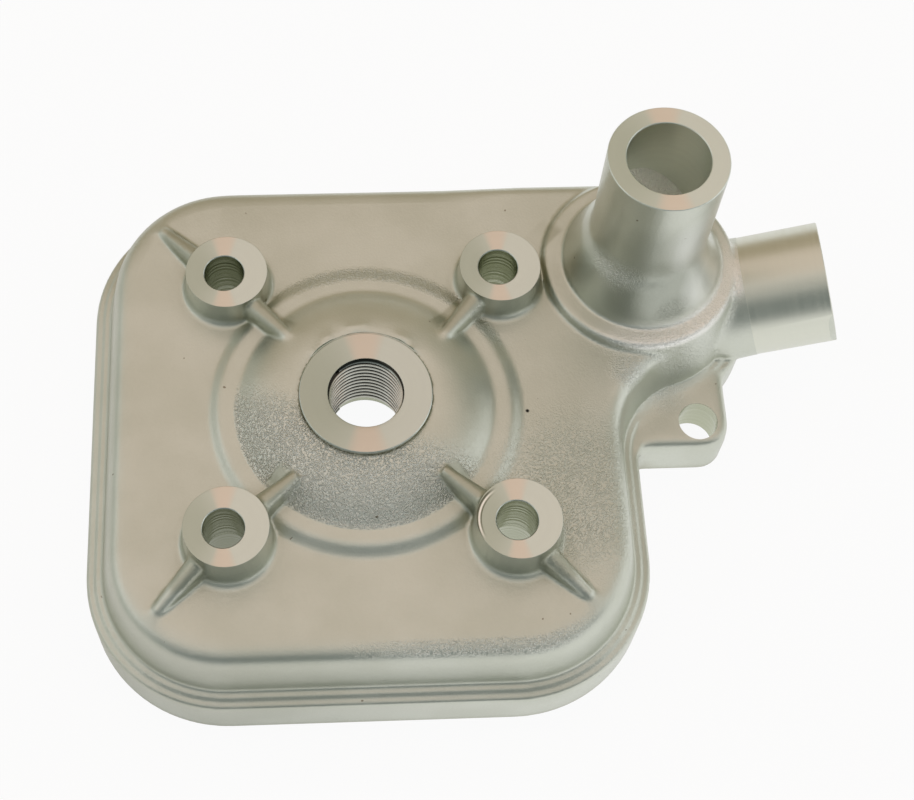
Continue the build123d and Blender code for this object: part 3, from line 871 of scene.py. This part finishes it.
def machined_metal(name, foot, axis, nearest=False, scars=(), colour=face_colour, roughness=0.3, pitch=0.12,
                   depth=0.0007, has_painted_sheen=True, lift=1.0):
    """Bright metal with rings round an axis, and unless turned off, a painted sheen and painted shade across
    the rings.
    """
    colour, side_shade_colour, sheen_pink = (tuple(c * lift for c in shade) for shade in (colour, painted_side_shade, painted_sheen_pink))
    made, tree, sockets, place = new_metal(name, colour, roughness)
    if nearest:
        local = coordinates_round_nearest_stud(tree, place, foot)
    else:
        local = coordinates_round_axis(tree, place, foot, axis)
    ring_out = use_group(tree, rings, Place=local, Pitch=pitch)
    tree.links.new(ramp(tree, ring_out["Tone"], 0.0, 1.0, roughness - 0.02, roughness + 0.02),
                   sockets["Roughness"])
    edge = add_node(tree, "Bevel", {"Radius": EDGE_R}, samples=4).outputs[0]
    tree.links.new(bump(tree, ring_out["Height"], depth * MM, edge), sockets["Normal"])
    worn = tuple(c * 0.98 for c in colour)
    paint = blend_colours(tree, ring_out["Tone"], worn, colour)
    if has_painted_sheen:
        slope = tree.nodes["Texture Coordinate"].outputs["Normal"]
        sheen_out = use_group(tree, sheen_group, Place=local, Slope=slope)
        # painted shade on the left side of a level turned face, then a pinkish painted sheen at its front and
        # back
        paint = blend_colours(tree, maths(tree, "MULTIPLY", sheen_out["Side"], 0.95), paint, side_shade_colour)
        paint = blend_colours(tree, maths(tree, "MULTIPLY", sheen_out["SheenFan"], 0.8), paint, sheen_pink)
    for inner, outer, scar_colour in scars:
        arc = use_group(tree, sector, Place=place, Centre=SCARRED_BOSS, Inner=inner, Outer=outer,
                        Soft=0.08, Facing=(-0.97, 0.24, 0), From=4.4, To=6.2)
        paint = blend_colours(tree, arc["Mask"], paint, scar_colour)
    tree.links.new(paint, sockets["Base Color"])
    return made


print("broken edges of", round(EDGE_R / MM, 2), "mm")

# %% Material: the sand core's skin in the tower
core_metal, tree, sockets, place = new_metal("core_skin", (0.97, 0.97, 0.93), 0.85)
crumbs = use_group(tree, sand, Place=place, Size=0.5)["Height"]
tree.links.new(bump(tree, crumbs, 0.3 * MM), sockets["Normal"])
print("made:", core_metal.name)

# %% Materials: one face and one bore finish for each tool
plug_foot = Vector((0, 0, 0))
near_stud = Vector((stud_half, stud_half, 0))
# the second colour is a darker olive, painted shade for the insides of the drilled and bored holes
tube_colour, bore_shade_colour, tower_bore_colour = (0.70, 0.71, 0.62), (0.44, 0.46, 0.34), (0.88, 0.92, 0.82)
boss_scars = (                                # inner and outer radius in millimetres, colour
    (6.05, 6.35, (0.2, 0.21, 0.16)), (6.35, 6.7, (0.95, 0.95, 0.9)), (6.7, 7.1, (0.14, 0.15, 0.11)),
)
drilled = dict(colour=bore_shade_colour, roughness=0.24, pitch=1.0, depth=0.12, has_painted_sheen=False)
finishes = {
    "stud": (
        machined_metal("turned_boss_face", near_stud, UP, nearest=True, scars=boss_scars),
        machined_metal("drilled_stud_hole", near_stud, UP, nearest=True, **drilled)),
    "chamber": (
        machined_metal("turned_plug_seat", plug_foot, UP, lift=0.94),
        machined_metal("bored_plug_hole", plug_foot, UP, **drilled)),
    "tower": (
        machined_metal("turned_tower", tower_foot, UP, roughness=0.36, lift=1.08),
        machined_metal("bored_tower", tower_foot, UP, colour=tower_bore_colour, has_painted_sheen=False)),
    "spigot": (
        machined_metal("turned_side_tube", spigot_root, spigot_axis, colour=tube_colour, roughness=0.36,
                       has_painted_sheen=False),
        machined_metal("bored_side_tube", spigot_root, spigot_axis, colour=bore_shade_colour, has_painted_sheen=False)),
    "lug": (
        machined_metal("drilled_lug", lug_foot, UP, has_painted_sheen=False),
        machined_metal("drilled_lug_hole", lug_foot, UP, **drilled)),
}
print("machined finishes:", list(finishes))

# %% Material: the milled gasket face
milling_centre = Vector((0, -200 * MM, 0))    # so far away that its rings are nearly straight
gasket_metal = machined_metal("milled_gasket_face", milling_centre, UP, has_painted_sheen=False)
print("made:", gasket_metal.name)

# %% [markdown]
# ## Cut the blank
#
# The gasket face is milled first with one flat block, then all turned tools cut in one go. They
# don't touch each other, so they can be joined into a single cutter. The tower's bore stops at
# a slanting skin of the sand core, so its tool is cut off at a slant first, and a narrower
# passage behind it leads on down.

# %% Mill the gasket face
head.data.materials.append(cast_metal)


def cut(piece, tool):
    """Take a tool out of a piece; the cut faces bring the tool's material along."""
    apply_modifier(piece, "BOOLEAN", object=tool, operation="DIFFERENCE", solver="EXACT",
                   material_mode="TRANSFER")
    bpy.data.objects.remove(tool)


block_size = 300 * MM
bpy.ops.mesh.primitive_cube_add(size=block_size, location=(0, 0, -block_size / 2))
mill = bpy.context.object
settle(mill)
mill.data.materials.append(gasket_metal)
cut(head, mill)
print("after milling:", len(head.data.polygons), "faces")

# %% Set up the turned tools
tools = {}
for name, (section, foot, axis, bore_limit) in cuts.items():
    face_finish, bore_finish = finishes[name.split("_")[0]]
    tools[name] = turned_cutter("tool_" + name, section, foot, axis, face_finish, bore_finish, bore_limit)
print("tools:", list(tools))

# %% Cut the tower's tool off at a slant
skin_place = tower_foot + Vector((-3.2, 6.5, 45.4)) * MM
skin_slope = Vector((0.5, -0.12, 0.86)).normalized()
core_slot, looks_back = 2, -0.99              # the new face looks against the slope's own direction
only(tools["tower"])
bpy.ops.object.mode_set(mode="EDIT")
bpy.ops.mesh.select_all(action="SELECT")
bpy.ops.mesh.bisect(plane_co=skin_place, plane_no=skin_slope, use_fill=True, clear_inner=True)
bpy.ops.object.mode_set(mode="OBJECT")
tools["tower"].data.materials.append(core_metal)
for face in tools["tower"].data.polygons:
    if face.normal.dot(skin_slope) < looks_back:
        face.material_index = core_slot
print("the bore's floor is", round(skin_place.z / MM, 1), "mm up")

# %% Turn and drill
joined = list(tools.values())
join(joined[0], joined[1:])
cut(head, joined[0])
passage_foot = tower_foot + Vector((1.5, -3.2, 0)) * MM
cut(head, turned_cutter("tool_passage", passage_section, passage_foot, UP, core_metal, core_metal, 0))
only(head)
bpy.ops.object.shade_smooth_by_angle(angle=radians(35))
print("finished casting:", len(head.data.polygons), "faces,",
      [slot.material.name for slot in head.material_slots])

# %% Put the casting in its place in the frame
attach(head, "root")
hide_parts("head_casting")
print(head.name, "stands for head_casting")

# %% [markdown]
# ## The thread insert and the seals
#
# These CAD nodes already have their real shape, so they keep it and get a finish. The insert is
# drawn stainless wire, bright along its crest, with a near-black painted shadow at its roots.
# The seals are moulded rubber with a dull bloom.

# %% Finish the wire insert
# past the second radius the wire is painted near black, a painted shadow in the thread roots
wire_crest, wire_root_shadow = (0.62, 0.63, 0.57), (0.035, 0.035, 0.03)
crest_r, root_r = 6.38 * MM, 6.6 * MM         # the wire is bright inside the first, dark past the second
wire_metal, tree, sockets, place = new_metal("insert_wire", (0.6, 0.6, 0.58), 0.24)
flat = add_node(tree, "VectorMath", {0: place, 1: (1, 1, 0)}, operation="MULTIPLY").outputs[0]
reach = add_node(tree, "VectorMath", {0: flat}, operation="LENGTH").outputs["Value"]
tree.links.new(blend_colours(tree, ramp(tree, reach, crest_r, root_r), wire_crest, wire_root_shadow),
               sockets["Base Color"])
tone = use_group(tree, clouds, Place=place, Size=2.0)["Tone"]
tree.links.new(ramp(tree, tone, 0.0, 1.0, 0.16, 0.3), sockets["Roughness"])
print("made:", wire_metal.name)

# %% Finish the seals
rubber_dark, rubber_bloom = (0.018, 0.018, 0.019), (0.032, 0.032, 0.033)
rubber, tree, sockets, place = new_metal("seal_rubber", (0.02, 0.02, 0.021), 0.6)
sockets["Metallic"].default_value = 0.0
grain_out = use_group(tree, grain, Place=place, Size=0.2)
tone = use_group(tree, clouds, Place=place, Size=5.0)["Tone"]
tree.links.new(blend_colours(tree, tone, rubber_dark, rubber_bloom), sockets["Base Color"])
tree.links.new(bump(tree, grain_out["Height"], 0.006 * MM), sockets["Normal"])
print("made:", rubber.name)

# %% Give the CAD nodes their finish
finish_of = {"plug_thread_insert": wire_metal, "combustion_seal": rubber, "coolant_seal": rubber}
for name, material in finish_of.items():
    slots = frame["nodes"][name].material_slots
    if not slots:
        frame["nodes"][name].data.materials.append(material)
    for slot in slots:
        slot.material = material
print("CAD nodes with a finish:", list(finish_of))

# %% [markdown]
# ## Studio
#
# A pale floor and a white surround make the plain background. There is no lamp: the surround
# lights the part from all sides, as a light tent does. Metal shows what surrounds it, so the
# tent needs darker things in it, or the metal would look like white plaster.
#
# The floor is made of white paper, mixed with a plain glow. The camera sees mostly the glow, so
# the background stays clean and keeps only a pale shadow. The metal mirrors a glow that is
# dimmer to the left than to the right, and it gives the two sides of each wall a different tone.

# %% Floor
FLOOR_SIZE, CAMERA_GLOW = 4.0, 0.93
paper_colour, white = (0.9, 0.9, 0.9, 1), (1, 1, 1, 1)
bpy.ops.mesh.primitive_plane_add(size=FLOOR_SIZE, location=(0, 0, cad_box[0].z))
floor = bpy.context.object
floor.name = "floor"
settle(floor)
paper = bpy.data.materials.new("white_paper")
paper.use_nodes = True
tree = paper.node_tree
shader = tree.nodes["Principled BSDF"]
shader.inputs["Base Color"].default_value = paper_colour
shader.inputs["Roughness"].default_value = 0.9
path = tree.nodes.new("ShaderNodeLightPath").outputs
mirrored = maths(tree, "MAXIMUM", path["Is Glossy Ray"], path["Is Transmission Ray"])
glow = add_node(tree, "Emission", {"Color": white, "Strength": 1.0}).outputs[0]
place = add_node(tree, "SeparateXYZ", {0: tree.nodes.new("ShaderNodeTexCoord").outputs["Object"]}).outputs
left_x, right_x, left_glow, right_glow = -55 * MM, 60 * MM, 0.38, 0.97
bright = ramp(tree, place["X"], left_x, right_x, left_glow, right_glow)
share = maths(tree, "MAXIMUM", maths(tree, "MULTIPLY", path["Is Camera Ray"], CAMERA_GLOW),
              maths(tree, "MULTIPLY", mirrored, bright))
mixed = add_node(tree, "MixShader", {"Fac": share, 1: shader.outputs[0], 2: glow}).outputs[0]
tree.links.new(mixed, tree.nodes["Material Output"].inputs["Surface"])
floor.data.materials.append(paper)
print("floor at", round(floor.location.z / MM, 2), "mm,", FLOOR_SIZE, "m wide")

# %% White surround
world = bpy.data.worlds.new("studio")
bpy.context.scene.world = world
world.use_nodes = True
world.node_tree.nodes["Background"].inputs["Color"].default_value = white
world.node_tree.nodes["Background"].inputs["Strength"].default_value = 1.0
print("surround:", world.name)

# %% [markdown]
# ### Cards
#
# Cards stand round the part and hang over it. Each one glows with its own tone, a little darker
# than the surround, and the two flags are the darkest. The metal mirrors them, so every side of
# it gets a tone of its own. The camera doesn't see them, and they throw no shadow.

# %% Flags and cards


def card(name, colour, width, height, place, lean, turn=0.0):
    """A plain card beside the part that the metal reflects and the camera doesn't see."""
    bpy.ops.mesh.primitive_plane_add(size=1.0, location=place, rotation=(radians(lean), 0, radians(turn)))
    made = bpy.context.object
    made.name = name
    made.scale = (width, height, 1)
    settle(made)
    made.visible_camera = False
    made.visible_shadow = False
    board = bpy.data.materials.new(name)
    board.use_nodes = True
    tree = board.node_tree
    glow = add_node(tree, "Emission", {"Color": (*colour, 1), "Strength": 1.0}).outputs[0]
    tree.links.new(glow, tree.nodes["Material Output"].inputs["Surface"])
    made.data.materials.append(board)


flag_colour = (0.21, 0.24, 0.24)
cards = (                                     # name, colour, width, height, place, lean and turn
    ("front_flag", flag_colour, 1.64, 0.84, (-0.40, -0.80, 0.44), 61),
    ("right_flag", flag_colour, 1.1, 0.56, (0.97, -0.73, 0.61), 50),
    ("camera_card", (0.56, 0.54, 0.51), 1.8, 0.36, (0, -0.40, 0.92), 24),
    ("overhead_card", (0.82, 0.70, 0.62), 2.0, 1.1, (0, 0.34, 0.94), 160),
    ("rear_card", (0.45, 0.38, 0.27), 2.6, 0.95, (0, 0.95, 0.46), 115),
    ("left_card", (0.50, 0.52, 0.48), 1.6, 0.4, (-0.75, 0, 0.17), 90, 90),
    ("right_card", (0.42, 0.41, 0.34), 0.8, 0.5, (0.62, 0.42, 0.52), 55, 125),
)
for row in cards:
    card(*row)
print("cards:", [row[0] for row in cards])
